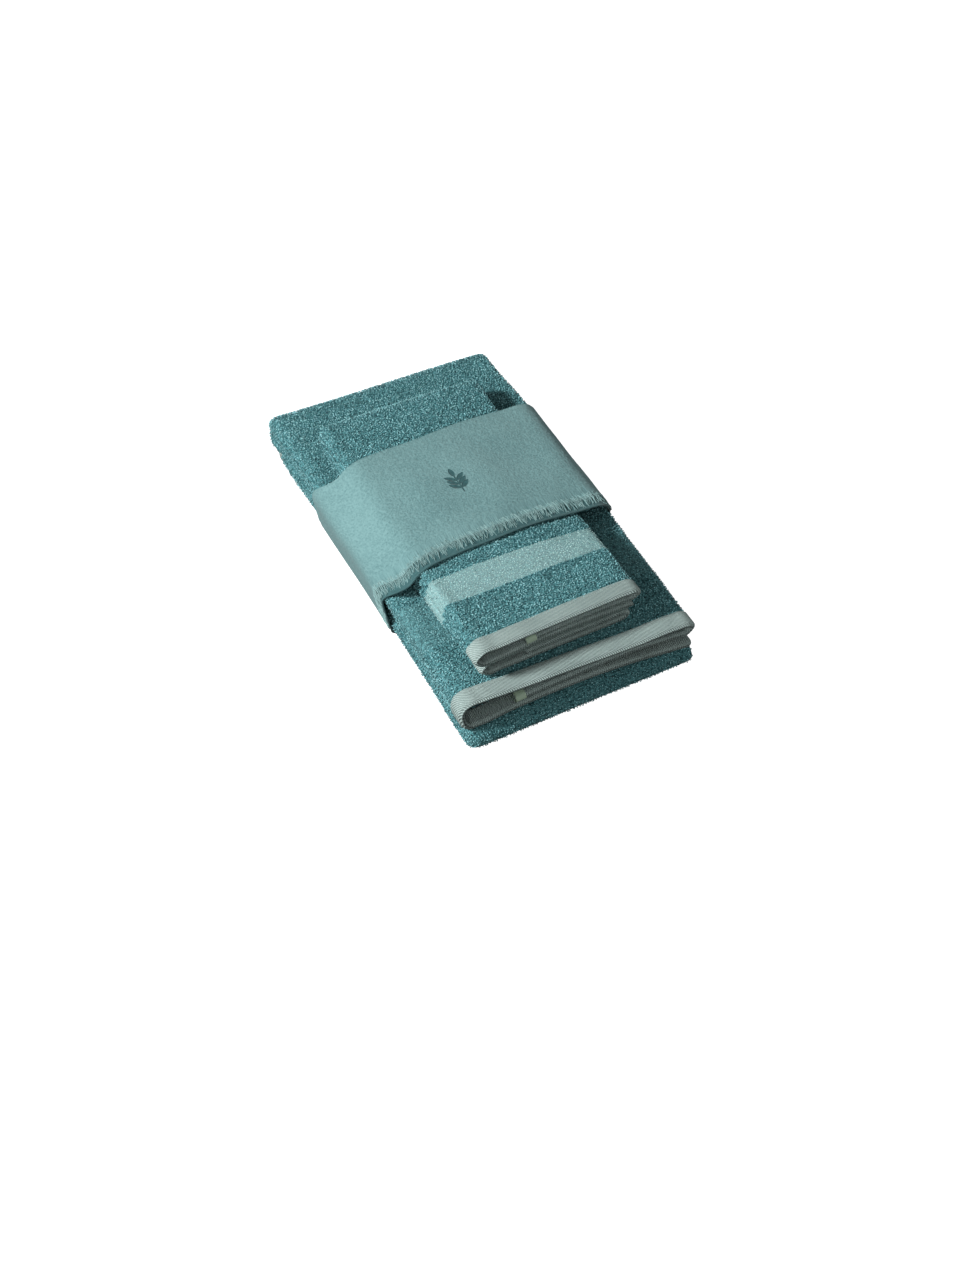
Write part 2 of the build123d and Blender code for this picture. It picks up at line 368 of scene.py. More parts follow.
def plus(tree, a, b, share=None):
    """One value added to another, or to a share of it."""
    return math_of(tree, "ADD", a, b if share is None else times(tree, b, share))


def minus(tree, a, b):
    """One value less another."""
    return math_of(tree, "SUBTRACT", a, b)


def sine_of(tree, a):
    """A wave of a value in radians."""
    return math_of(tree, "SINE", a)


def new_tree(name, inputs):
    """An empty Geometry Nodes tree with a geometry input and output and the given named inputs."""
    tree = bpy.data.node_groups.new(name, "GeometryNodeTree")
    tree.is_modifier = True
    tree.interface.new_socket("Geometry", in_out="INPUT", socket_type="NodeSocketGeometry")
    for label, kind in inputs:
        tree.interface.new_socket(label, in_out="INPUT", socket_type="NodeSocket" + kind)
    tree.interface.new_socket("Geometry", in_out="OUTPUT", socket_type="NodeSocketGeometry")
    return tree, tree.nodes.new("NodeGroupInput").outputs


def repeated(tree, points, shape, rotation, material, scale=(1.0, 1.0, 1.0)):
    """A shape on every point, made real, smooth and coloured."""
    spread = put(tree, "GeometryNodeInstanceOnPoints", {
        "Points": points, "Instance": shape, "Rotation": rotation, "Scale": scale,
    })
    real = put(tree, "GeometryNodeRealizeInstances", {0: spread.outputs[0]})
    soft = put(tree, "GeometryNodeSetShadeSmooth", {0: real.outputs[0]})
    return put(tree, "GeometryNodeSetMaterial", {
        "Geometry": soft.outputs[0], "Material": material,
    }).outputs[0]


def yarn_along(tree, line, radius, sides, closed=False):
    """A round yarn along a line, with or without closed ends."""
    section = put(tree, "GeometryNodeCurvePrimitiveCircle", {"Resolution": sides, "Radius": radius})
    return put(tree, "GeometryNodeCurveToMesh", {
        "Curve": line, "Profile Curve": section.outputs[0], "Fill Caps": closed,
    }).outputs[0]


def leaned(tree, rotation, angles):
    """A rotation leaned by some angles about its own axes."""
    lean = put(tree, "FunctionNodeEulerToRotation", {0: angles}).outputs[0]
    return put(tree, "FunctionNodeRotateRotation", {
        "Rotation": rotation, "Rotate By": lean,
    }, rotation_space="LOCAL").outputs[0]


def grown(name, source, tree, values):
    """The plain mesh that a tree makes of a source object, which is then thrown away."""
    modifier = source.modifiers.new("grow", "NODES")
    modifier.node_group = tree
    for item in tree.interface.items_tree:
        if item.in_out == "INPUT" and item.name in values:
            modifier[item.identifier] = values[item.name]
    graph = bpy.context.evaluated_depsgraph_get()
    graph.update()
    evaluated = source.evaluated_get(graph)
    mesh = bpy.data.meshes.new_from_object(evaluated, preserve_all_data_layers=True, depsgraph=graph)
    mesh.name = name
    bpy.data.objects.remove(source)
    return placed(name, mesh)


def named(tree, label):
    """A vector that the source mesh keeps for each of its points."""
    return put(tree, "GeometryNodeInputNamedAttribute", {"Name": label}, data_type="FLOAT_VECTOR").outputs[0]


def store(tree, geometry, label, value, kind="FLOAT", domain="POINT"):
    """The geometry with a value kept on it under a name."""
    return put(tree, "GeometryNodeStoreNamedAttribute", {
        "Geometry": geometry, "Name": label, "Value": value,
    }, data_type=kind, domain=domain).outputs[0]


def random_of(tree, low, high, seed, kind="FLOAT"):
    """A random number or vector for each point."""
    made = put(tree, "FunctionNodeRandomValue", {"Min": low, "Max": high, "Seed": seed}, data_type=kind)
    return made.outputs[1 if kind == "FLOAT" else 0]


def noise_of(tree, where, scale, detail):
    """An uneven pattern about 0.5."""
    return put(tree, "ShaderNodeTexNoise", {"Vector": where, "Scale": scale, "Detail": detail}).outputs[0]


def stripe_of(tree, along, length, start, end):
    """1 in the low-pile stripes near both ends of a towel, and 0 elsewhere."""
    from_end = math_of(tree, "MINIMUM", along, minus(tree, length, along))
    past = math_of(tree, "GREATER_THAN", from_end, start)
    return times(tree, past, math_of(tree, "LESS_THAN", from_end, end))


def pile_tree():
    """Loops of yarn scattered over a patch of ground cloth, each standing on it at a random turn."""
    tree, given = new_tree("loop_pile", [
        ("Spacing", "Float"), ("Loop height", "Float"), ("Yarn radius", "Float"),
        ("Stripe start", "Float"), ("Stripe end", "Float"), ("Cloth length", "Float"),
        ("Bake scale", "Vector"), ("Seed", "Int"), ("Material", "Material"),
    ])
    spread = put(tree, "GeometryNodeDistributePointsOnFaces", {
        "Mesh": given["Geometry"], "Distance Min": given["Spacing"], "Density Max": most_loops,
        "Density Factor": 1.0, "Seed": given["Seed"],
    }, distribute_method="POISSON")
    along = put(tree, "ShaderNodeSeparateXYZ", {0: named(tree, "flat_at")}).outputs[1]
    stripe = stripe_of(tree, along, given["Cloth length"], given["Stripe start"], given["Stripe end"])
    shaded = store(tree, spread.outputs["Points"], "shade", random_of(tree, 0.0, 1.0, 11))
    # one upright loop, open at its foot
    arc = put(tree, "GeometryNodeCurveArc", {
        "Resolution": 4, "Radius": 0.5, "Start Angle": math.radians(-30), "Sweep Angle": math.radians(240),
    }).outputs[0]
    size = put(tree, "ShaderNodeCombineXYZ", {
        0: times(tree, given["Loop height"], 0.95), 1: given["Loop height"], 2: 1.0,
    }).outputs[0]
    sized = put(tree, "GeometryNodeTransform", {"Geometry": arc, "Scale": size}).outputs[0]
    lift = put(tree, "ShaderNodeCombineXYZ", {2: times(tree, given["Loop height"], 0.32)}).outputs[0]
    standing = put(tree, "GeometryNodeTransform", {
        "Geometry": sized, "Rotation": (math.radians(90), 0, 0), "Translation": lift,
    }).outputs[0]
    place = put(tree, "GeometryNodeInputPosition").outputs[0]
    loop = store(tree, yarn_along(tree, standing, given["Yarn radius"], 3), "loop_at", place, "FLOAT_VECTOR")
    # each loop leans its own way, and they stand in clumps and lower in the stripes
    low, high = (-loop_lean, -loop_lean, 0.0), (loop_lean, loop_lean, 2 * math.pi)
    angles = random_of(tree, low, high, 5, "FLOAT_VECTOR")
    shorter = minus(tree, 1.0, times(tree, stripe, stripe_drop))
    clumped = plus(tree, 0.72, noise_of(tree, place, clump_scale, 1.0), 0.6)
    scale = times(tree, times(tree, random_of(tree, 0.85, 1.15, 7), shorter), clumped)
    loops = repeated(
        tree, store(tree, shaded, "in_stripe", stripe), loop,
        leaned(tree, spread.outputs["Rotation"], angles), given["Material"], scale,
    )
    moved = put(tree, "ShaderNodeVectorMath", {
        0: named(tree, "loop_at"), 1: given["Bake scale"],
    }, operation="MULTIPLY").outputs[0]
    where = put(tree, "ShaderNodeVectorMath", {
        0: named(tree, "bake_at"), 1: moved,
    }, operation="ADD").outputs[0]
    put(tree, "NodeGroupOutput", {0: store(tree, loops, "OFBake", where, "FLOAT2", "CORNER")})
    return tree


def points_of(mesh):
    """A mesh's points, one row each."""
    points = np.empty(len(mesh.vertices) * 3)
    mesh.vertices.foreach_get("co", points)
    return points.reshape(-1, 3)


def open_faces(mesh):
    """A cloth's points and faces, and the numbers of the faces that nothing covers and that show."""
    points = points_of(mesh)
    corners = np.empty(len(mesh.polygons) * 4, dtype=int)
    mesh.polygons.foreach_get("vertices", corners)
    corners = corners.reshape(-1, 4)
    tree = BVHTree.FromPolygons(points.tolist(), corners.tolist())
    found = []
    for number, face in enumerate(mesh.polygons):
        centre, normal = face.center, face.normal
        if normal.z < underside or centre.z < floor_gap:
            continue
        start = centre + normal * 0.0003
        if tree.ray_cast(start, normal, cover_reach)[0] is None:
            found.append(number)
    return points, corners, np.array(found)


def patch(name, cloth, points, corners, chosen):
    """A loose copy of some faces of the cloth, with its flat place and its own bake place."""
    used, quads = np.unique(corners[chosen], return_inverse=True)
    mesh = bpy.data.meshes.new(name)
    mesh.from_pydata(points[used].tolist(), [], quads.reshape(-1, 4).tolist())
    flat = np.empty(len(points) * 3)
    cloth.data.attributes["flat_at"].data.foreach_get("vector", flat)
    flat = flat.reshape(-1, 3)[used]
    spot = np.stack([flat[:, 0] + flat[:, 2] * 0.75, flat[:, 1]], axis=1)
    low, high = spot.min(axis=0) - 0.002, spot.max(axis=0) + 0.002
    keep_vectors(mesh, "flat_at", flat)
    keep_vectors(mesh, "bake_at", np.column_stack([(spot - low) / (high - low), 0 * flat[:, 0]]))
    return placed(name, mesh), 1 / (high - low)


def plain_material(name, roughness, specular=0.5, sheen=0.0):
    """A new material, with its tree and its shader."""
    material = bpy.data.materials.new(name)
    material.use_nodes = True
    shader = material.node_tree.nodes["Principled BSDF"]
    shader.inputs["Roughness"].default_value = roughness
    shader.inputs["Specular IOR Level"].default_value = specular
    shader.inputs["Sheen Weight"].default_value = sheen
    return material, material.node_tree, shader


def ramp_of(tree, level, stops):
    """The colour at a level, through stops of (level, colour)."""
    ramp = put(tree, "ShaderNodeValToRGB", {0: level})
    elements = ramp.color_ramp.elements
    for number, (at, colour) in ((0, stops[0]), (1, stops[-1])):
        elements[number].position = at
        elements[number].color = (*colour, 1)
    for at, colour in stops[1:-1]:
        elements.new(at).color = (*colour, 1)
    return ramp.outputs[0]


def bumped(tree, shader, height, strength, distance):
    """Gives a shader fine relief by a height."""
    bump = put(tree, "ShaderNodeBump", {"Height": height, "Strength": strength, "Distance": distance})
    tree.links.new(bump.outputs[0], shader.inputs["Normal"])


def swung(tree, level, pattern, share):
    """A level moved up and down by a share of a pattern about 0.5."""
    return plus(tree, level, minus(tree, pattern, 0.5), share)


def kept_on(tree, label):
    """What a piece keeps for a material to read: a number, and a vector."""
    made = put(tree, "ShaderNodeAttribute", attribute_name=label)
    return made.outputs["Fac"], made.outputs["Vector"]


def object_place(tree):
    """Where a point of the piece lies."""
    return put(tree, "ShaderNodeTexCoord").outputs["Object"]


def terry_material(name, stripe_share):
    """Dyed cotton loops with painted shade towards the roots and a painted highlight on the tips, each loop
    its own tone.
    """
    material, tree, shader = plain_material(name, 0.95, 0.15, 0.12)
    height = put(tree, "ShaderNodeSeparateXYZ", {0: kept_on(tree, "loop_at")[1]}).outputs[2]
    share = math_of(tree, "DIVIDE", height, pile_height)
    place = object_place(tree)
    # each loop's height paints it darker at the root and paler at the tip: painted shade and painted
    # highlight
    level = plus(tree, times(tree, share, 0.55), kept_on(tree, "shade")[0], 0.40)
    level = swung(tree, level, noise_of(tree, place, 38.0, 3.0), 0.35)
    # the clump pattern that sets the loops' heights also paints the low clumps darker: painted shade
    level = swung(tree, level, noise_of(tree, place, clump_scale, 1.0), 2.0)
    mix = put(tree, "ShaderNodeMix", data_type="RGBA")
    tree.links.new(times(tree, kept_on(tree, "in_stripe")[0], stripe_share), mix.inputs["Factor"])
    for number, side, tip in ((6, terry_side, terry_tip_highlight), (7, stripe_side, stripe_tip_highlight)):
        ramp = ramp_of(tree, level, ((0.08, terry_root_shade), (0.50, side), (1.0, tip)))
        tree.links.new(ramp, mix.inputs[number])
    tree.links.new(mix.outputs[2], shader.inputs["Base Color"])
    return material


def ground_material(name, stripe_range, length, stripe_share):
    """The woven ground between the loops, with a fine grain; its dark colour is painted shade between the
    loops.
    """
    material, tree, shader = plain_material(name, 0.95, 0.15)
    along = put(tree, "ShaderNodeSeparateXYZ", {0: kept_on(tree, "flat_at")[1]}).outputs[1]
    stripe = stripe_of(tree, along, length, *stripe_range)
    grain = noise_of(tree, object_place(tree), 520.0, 4.0)
    pale = put(tree, "ShaderNodeMix", {7: (*stripe_side, 1)}, data_type="RGBA")
    tree.links.new(times(tree, stripe, 0.45 * stripe_share), pale.inputs[0])
    # the ground ramps from the painted root shade up to the cotton's own side colour
    tree.links.new(ramp_of(tree, grain, ((0.35, terry_root_shade), (0.70, terry_side))), pale.inputs[6])
    tree.links.new(pale.outputs[2], shader.inputs["Base Color"])
    bumped(tree, shader, grain, 0.8, 0.0008)
    return material


def grow_pile(cloth, regions, length, stripe_range, material, seed):
    """One pile piece for each region of the cloth's open faces."""
    points, corners, shown = open_faces(cloth.data)
    faces = points[corners[shown]]
    centres = faces.mean(axis=1)
    cross = np.cross(faces[:, 2] - faces[:, 0], faces[:, 3] - faces[:, 1])
    facing = cross / np.linalg.norm(cross, axis=1)[:, None]
    left = np.ones(len(shown), dtype=bool)
    made = []
    for number, (label, test) in enumerate(regions):
        chosen = left & test(centres, facing)
        left &= ~chosen
        source, bake_scale = patch(label, cloth, points, corners, shown[chosen])
        made.append(grown(label, source, loop_tree, {
            "Spacing": pile_spacing, "Loop height": pile_height, "Yarn radius": yarn_radius,
            "Stripe start": stripe_range[0], "Stripe end": stripe_range[1], "Cloth length": length,
            "Bake scale": (float(bake_scale[0]), float(bake_scale[1]), 0.0),
            "Seed": seed + number, "Material": material,
        }))
    return made


loop_tree = pile_tree()
bath_terry = terry_material("bath_terry_loops", bath_stripe_share)
bath_ground = ground_material("bath_terry_ground", bath_stripe, bath_length, bath_stripe_share)
bath_towel.data.materials.append(bath_ground)
bath_pile = grow_pile(bath_towel, [
    ("bath_pile_left", lambda at, facing: (facing[:, 0] < -0.5) & (at[:, 1] > bath_low.y + 0.02)),
    ("bath_pile_right", lambda at, facing: (facing[:, 0] > 0.5) & (at[:, 1] > bath_low.y + 0.02)),
    ("bath_pile_front", lambda at, facing: at[:, 1] < -0.195),
    ("bath_pile_stripe", lambda at, facing: at[:, 1] < -0.130),
    ("bath_pile_front_middle", lambda at, facing: at[:, 1] < -0.050),
    ("bath_pile_middle", lambda at, facing: at[:, 1] < 0.045),
    ("bath_pile_back_middle", lambda at, facing: at[:, 1] < 0.135),
    ("bath_pile_back", lambda at, facing: at[:, 1] < 1.0),
], bath_length, bath_stripe, bath_terry, 21)

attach(bath_towel, "bath_towel")
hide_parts("bath_towel_cloth")
for piece in bath_pile:
    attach(piece, "bath_towel")

# ---- Bath towel hems --------------------------------------------------------------------------
# Cotton twill bindings, folded over the towel's two short ends and sewn down through both sides.
# The front one hangs open, and the other is tucked underneath at the back.
hem_half = 0.0034
hem_back_half = 0.0026
hem_nose = 0.0034
hem_edge = 0.0032
rib_pitch = 0.0023
rib_height = 0.00025
thread_pitch = 0.0007


def twill_relief(across, along):
    """Height of the slanting twill ribs at a place on the binding."""
    return rib_height * np.sin(2 * math.pi * (across[:, None] + along[None, :]) / rib_pitch)


def path_at(path, at):
    """The rows of a towel's way from end to end, at the given distances."""
    return np.stack([np.interp(at, path[:, 4], path[:, k]) for k in range(4)] + [at], axis=1)


def hem_piece(name, fold, shape, path, start, end, half, ribbed=True):
    """A binding round the folded cloth, from one distance along the towel to another."""
    begin, finish = sorted((start, end))
    fine = 0.0009 if ribbed else 0.003
    steps = np.linspace(begin, finish, max(6, int((finish - begin) / fine)))
    out = abs(steps - start)
    nose = np.sqrt(np.clip(1 - (1 - np.clip(out / hem_nose, 0, 1)) ** 2, 0.02, 1))
    tuck = 1 - 0.35 * smooth(1 - (abs(end - start) - out) / 0.0016)
    thick = half * nose * tuck
    thick = thick[None, :] * edge_ease(fold[:, 2], fold[-1, 2], hem_edge)[:, None]
    if ribbed:
        thick = thick + twill_relief(fold[:, 2], out) * np.clip(out / 0.001, 0, 1)
    return sheet_mesh(name, shape(fold, path_at(path, steps)), thick, fold[:, 2], steps)


bath_fine_fold = fold_line(*bath_section, 0.0010, 40)
bath_hem_front = hem_piece(
    "bath_front_binding", bath_fine_fold, bath_shape, bath_path, 0.0, bath_hem_width + 0.002, hem_half
)
bath_hem_back = hem_piece(
    "bath_back_binding", bath_fold, bath_shape, bath_path,
    bath_length, bath_length - bath_hem_width, hem_back_half, False,
)


# the binding's cotton twill: pale sage, with a rib slanting across it, with painted shade in the rib valleys
# and a painted highlight on the ribs' tops
sage_valley_shade = (0.105, 0.155, 0.148)
sage_ridge_highlight = (0.450, 0.560, 0.535)


def hem_material(name):
    """Sage cotton twill that follows the binding's own length and width."""
    material, tree, shader = plain_material(name, 0.85, 0.2)
    part = put(tree, "ShaderNodeSeparateXYZ", {0: kept_on(tree, "flat_at")[1]}).outputs
    rib = sine_of(tree, times(tree, plus(tree, part[0], part[1]), 2 * math.pi / rib_pitch))
    thread = sine_of(tree, times(tree, minus(tree, part[0], part[1]), 2 * math.pi / thread_pitch))
    place = object_place(tree)
    fuzz = noise_of(tree, place, 900.0, 3.0)
    # the rib wave paints shade in the valleys and a highlight on the ribs' tops
    level = plus(tree, plus(tree, times(tree, rib, 0.19), 0.5), thread, 0.06)
    level = swung(tree, swung(tree, level, fuzz, 0.5), noise_of(tree, place, 22.0, 2.0), 0.4)
    colour = ramp_of(tree, level, ((0.12, sage_valley_shade), (0.85, sage_ridge_highlight)))
    tree.links.new(colour, shader.inputs["Base Color"])
    bumped(tree, shader, plus(tree, rib, fuzz, 0.8), 0.8, 0.0004)
    return material


hem_twill = hem_material("hem_twill")
for piece in (bath_hem_front, bath_hem_back):
    piece.data.materials.append(hem_twill)

# ---- Bath towel hem stitching -----------------------------------------------------------------
# One lockstitched row along the inner edge of each binding, in a cotton thread of nearly the same
# sage as the twill.
stitch_length = 0.0030
stitch_pitch = 0.0042
stitch_radius = 0.00033
stitch_inset = 0.0030
hem_thread_sage = (0.36, 0.44, 0.42)


def surface_line(name, points, outward):
    """A line on a surface that knows which way is outwards, for a row of stitches or yarns."""
    mesh = bpy.data.meshes.new(name)
    mesh.from_pydata(points.tolist(), [(k, k + 1) for k in range(len(points) - 1)], [])
    keep_vectors(mesh, "outward", outward)
    return placed(name, mesh)


def outward_of(grid):
    """The outer side's direction at each point of a mid surface."""
    out = np.cross(np.gradient(grid, axis=0), np.gradient(grid, axis=1))
    return out / np.linalg.norm(out, axis=2)[..., None]


def points_along(tree, line, pitch):
    """Even steps along a line of edges."""
    curve = put(tree, "GeometryNodeMeshToCurve", {0: line}).outputs[0]
    return put(tree, "GeometryNodeResampleCurve", {"Curve": curve, "Length": pitch}, mode="LENGTH").outputs[0]


def bent_line(tree, start, end, bow):
    """A line of five points, moved off straight by an offset."""
    line = put(tree, "GeometryNodeCurvePrimitiveLine", {"Start": start, "End": end}).outputs[0]
    points = put(tree, "GeometryNodeResampleCurve", {"Curve": line, "Count": 5}, mode="COUNT").outputs[0]
    return put(tree, "GeometryNodeSetPosition", {"Geometry": points, "Offset": bow}).outputs[0]


def stitch_tree():
    """Short plump stitches at an even pitch along a line, each lying flat on the surface."""
    tree, given = new_tree("stitch_row", [
        ("Stitch length", "Float"), ("Stitch pitch", "Float"), ("Thread radius", "Float"),
        ("Material", "Material"),
    ])
    half = times(tree, given["Stitch length"], 0.5)
    start = put(tree, "ShaderNodeCombineXYZ", {0: times(tree, half, -1.0)}).outputs[0]
    end = put(tree, "ShaderNodeCombineXYZ", {0: half}).outputs[0]
    along = put(tree, "GeometryNodeSplineParameter").outputs[0]
    arch = minus(tree, sine_of(tree, times(tree, along, math.pi)), 0.7)
    rise = put(tree, "ShaderNodeCombineXYZ", {2: times(tree, arch, given["Thread radius"])}).outputs[0]
    stitch = yarn_along(tree, bent_line(tree, start, end, rise), given["Thread radius"], 5, True)
    facing = put(tree, "FunctionNodeAxesToRotation", {
        0: put(tree, "GeometryNodeInputTangent").outputs[0], 1: named(tree, "outward"),
    }, primary_axis="X", secondary_axis="Z").outputs[0]
    spaced = points_along(tree, given["Geometry"], given["Stitch pitch"])
    put(tree, "NodeGroupOutput", {0: repeated(tree, spaced, stitch, facing, given["Material"])})
    return tree


def striped_by(tree, shader, where, scale, distortion, direction, colour, dark_share):
    """Colours a shader in fine waves, from a darker share of a colour up to the colour."""
    wave = put(tree, "ShaderNodeTexWave", {
        "Vector": where, "Scale": scale, "Distortion": distortion,
    }, bands_direction=direction).outputs["Fac"]
    dark = [dark_share * c for c in colour]
    tree.links.new(ramp_of(tree, wave, ((0.0, dark), (1.0, colour))), shader.inputs["Base Color"])
    return wave


def thread_material(name, colour):
    """Twisted cotton sewing thread."""
    material, tree, shader = plain_material(name, 0.6)
    striped_by(tree, shader, object_place(tree), 900.0, 1.5, "DIAGONAL", colour, 0.62)
    return material


def hem_stitches(name, fold, shape, path, along, run, half):
    """A sewn row on one run of the folded binding, between two distances round the fold."""
    grid = shape(fold, path_at(path, np.array([along - 0.001, along, along + 0.001])))
    chosen = (fold[:, 2] > run[0]) & (fold[:, 2] < run[1])
    outward = outward_of(grid)[chosen, 1]
    line = surface_line(name, grid[chosen, 1] + outward * half, outward)
    return grown(name, line, sewing_tree, {
        "Stitch length": stitch_length, "Stitch pitch": stitch_pitch,
        "Thread radius": stitch_radius, "Material": hem_thread,
    })


sewing_tree = stitch_tree()
hem_thread = thread_material("hem_thread", hem_thread_sage)
bath_top_run = (0.262, 0.486)
bath_hem_front_stitching = hem_stitches(
    "bath_front_stitches", bath_fine_fold, bath_shape, bath_path,
    bath_hem_width - stitch_inset, bath_top_run, hem_half,
)
bath_hem_back_stitching = hem_stitches(
    "bath_back_stitches", bath_fine_fold, bath_shape, bath_path,
    bath_length - bath_hem_width + stitch_inset, bath_top_run, hem_back_half,
)
for piece, node, slot in (
    (bath_hem_front, "bath_hem_front", "hem_twill"), (bath_hem_back, "bath_hem_back", "hem_twill"),
    (bath_hem_front_stitching, "bath_hem_front_stitching", "hem_thread"),
    (bath_hem_back_stitching, "bath_hem_back_stitching", "hem_thread"),
):
    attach(piece, "bath_towel")
    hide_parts(node)

# ---- Bath towel care label --------------------------------------------------------------------
# A blank satin ribbon, folded over the binding at the tucked flap's end and caught in the hem's
# seam on both sides.
label_width = 0.0120
label_half = 0.00018
label_depth = 0.0125
label_green = (0.42, 0.56, 0.42)


def care_label(name, fold, shape, path, half):
    """A ribbon over the front of the binding, beside the flap's loose end."""
    wrap = np.concatenate([np.linspace(label_depth, 0.0, 22), np.linspace(0.0, label_depth, 22)[1:]])
    side = np.concatenate([np.ones(22), -np.ones(21)])
    chosen = np.where(fold[:, 2] > fold[-1, 2] - label_width)[0]
    at = np.linspace(0.0, label_depth + 0.001, 60)
    grid = shape(fold, path_at(path, at))
    normal = outward_of(grid)
    nose = np.sqrt(np.clip(1 - (1 - np.clip(wrap / hem_nose, 0, 1)) ** 2, 0.0, 1))
    middle = np.empty((len(chosen), len(wrap), 3))
    for m, row in enumerate(chosen):
        for k in range(3):
            centre = np.interp(wrap, at, grid[row, :, k])
            lean = np.interp(wrap, at, normal[row, :, k])
            middle[m, :, k] = centre + side * lean * (half * nose + 2 * label_half)
    middle[:, :, 1] -= 2.5 * label_half * (1 - nose)[None, :]
    thick = np.full(middle.shape[:2], label_half)
    length = np.concatenate([[0], np.cumsum(np.linalg.norm(np.diff(middle[0], axis=0), axis=1))])
    return sheet_mesh(name, middle, thick, fold[chosen, 2] - fold[chosen[0], 2], length)


def satin_material(name, colour):
    """Woven polyester satin with fine ribs across it."""
    material, tree, shader = plain_material(name, 0.4)
    weave = striped_by(tree, shader, kept_on(tree, "flat_at")[1], 700.0, 0.6, "Y", colour, 0.8)
    bumped(tree, shader, weave, 0.3, 0.0001)
    return material


label_satin = satin_material("label_satin", label_green)
bath_care_label = care_label("bath_satin_label", bath_fine_fold, bath_shape, bath_path, hem_half)
bath_care_label.data.materials.append(label_satin)
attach(bath_care_label, "bath_towel")
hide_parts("bath_care_label")

# ---- Hand towel cloth -------------------------------------------------------------------------
# A smaller terry towel of the same make, folded in three across and then in half, so that both of
# its hems show at the front.
hand_low, hand_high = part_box("hand_towel_cloth")
hand_upper_low, hand_upper_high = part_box("hand_hem_upper")
hand_lower_low, hand_lower_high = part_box("hand_hem_lower")
hand_bundle = hand_upper_high.z - hand_upper_low.z
hand_pitch = hand_bundle * 0.3427
hand_outer = hand_bundle / 2
hand_rise = hand_upper_low.z - hand_lower_low.z
hand_width = hand_high.x - hand_low.x
hand_centre_x = (hand_high.x + hand_low.x) / 2
hand_flap_inset = 0.054
hand_edge_inset = 0.007
hand_corner = 0.014
hand_ground_half = 0.0017
hand_stripe = (0.067, 0.102)
hand_front_lift = 1.10
hand_back_sink = 0.80
hand_slack_reach = 0.085
hand_swell = 0.0007
hand_side_swell = 0.0010
hand_edge_press = 0.0095
hand_skew = 0.0090
hand_pinch = (0.0036, 0.0030, 0.0028)
hand_ridge = (0.0019, 0.0125, 0.0038)

# where each of its ends hangs at the front: distance round the fold, x, z
hand_upper_slack = [
    (0.000, 0.0700, 0.0850), (0.060, 0.0120, 0.0868), (0.110, -0.040, 0.0868), (0.150, -0.080, 0.0842),
    (0.163, -0.0915, 0.0848), (0.1715, -0.0980, 0.0925), (0.180, -0.0925, 0.0990), (0.200, -0.074, 0.1000),
    (0.250, -0.026, 0.1003), (0.310, 0.034, 0.1008), (0.338, 0.062, 0.1010), (0.3445, 0.0700, 0.1003),
    (0.3495, 0.0745, 0.0972), (0.355, 0.0700, 0.0938), (0.372, 0.052, 0.0938), (0.410, 0.015, 0.0936),
    (0.450, -0.024, 0.0925), (0.4725, -0.0460, 0.0915),
]
hand_lower_slack = [
    (0.000, 0.0670, 0.0788), (0.060, 0.008, 0.0800), (0.110, -0.040, 0.0795), (0.150, -0.075, 0.0785),
    (0.163, -0.0840, 0.0775), (0.1715, -0.0895, 0.0720), (0.180, -0.0845, 0.0662), (0.200, -0.070, 0.0657),
    (0.250, -0.022, 0.0657), (0.310, 0.030, 0.0657), (0.338, 0.0560, 0.0657), (0.3445, 0.0630, 0.0663),
    (0.3495, 0.0670, 0.0695), (0.355, 0.0630, 0.0728), (0.372, 0.046, 0.0730), (0.410, 0.012, 0.0730),
    (0.450, -0.026, 0.0727), (0.4725, -0.0440, 0.0725),
]


def hand_shape(fold, path):
    """Where the hand towel's mid surface lies: one row for each point round the fold."""
    across, rise = fold[:, None, 0] + hand_centre_x, fold[:, None, 1]
    y0, z0, up_y, up_z, along = path.T
    x = across + 0 * y0
    y = y0 + up_y * rise
    z = z0 + up_z * rise
    inset = corner_inset(hand_high.y - y, hand_corner)
    x = hand_centre_x + (x - hand_centre_x) * (1 - inset / (hand_width / 2))
    back_share = np.clip((y - hand_upper_low.y) / (hand_high.y - hand_upper_low.y), 0, 1)
    lift = hand_front_lift + (hand_back_sink - hand_front_lift) * back_share
    z = hand_low.z + (z - hand_low.z) * lift
    # the band presses the long edges down, from its front to the towel's back end
    out = np.clip(np.abs(x - hand_centre_x) / (hand_width / 2), 0, 1)
    firm = smooth((y + 0.150) / 0.100) * (1 - 0.80 * smooth((y - 0.010) / 0.150))
    pressed = hand_edge_press * smooth((out - 0.25) / 0.80) ** 1.2 * firm
    z = z - pressed * np.clip((z - hand_low.z) / (hand_high.z - hand_low.z), 0, 1)
    upper = slack_line(fold[:, 2], hand_upper_slack)[:, None, :]
    lower = slack_line(fold[:, 2], hand_lower_slack)[:, None, :]
    upper_ease = smooth(1 - (along - 0.004) / hand_slack_reach)
    lower_ease = smooth(1 - (hand_length - along - 0.004) / hand_slack_reach)
    for slack, ease in ((upper, upper_ease), (lower, lower_ease)):
        x = x + (slack[..., 0] - x) * ease
        z = z + (slack[..., 1] - z) * ease
    firmly = (1 - upper_ease) * (1 - lower_ease)
    x = x + beside_bend(fold, *hand_pinch) * firmly
    z = z + beside_bend(fold, *hand_ridge) * firmly
    leftness = np.clip((hand_high.x - x) / hand_width, 0, 1)
    y = y - hand_skew * leftness * smooth(1 - (y - hand_upper_low.y) / 0.14)
    high = np.clip((z - hand_low.z) / (hand_high.z - hand_low.z), 0, 1)
    z = z + hand_swell * high * ripple(x, y, 0.05, 2.0)
    edge = np.clip(np.abs(x - hand_centre_x) / (hand_width / 2), 0, 1) ** 4
    x = x + hand_side_swell * ripple(y, z, 0.04, 0.3) * edge
    return np.stack([x, y, z], axis=-1)


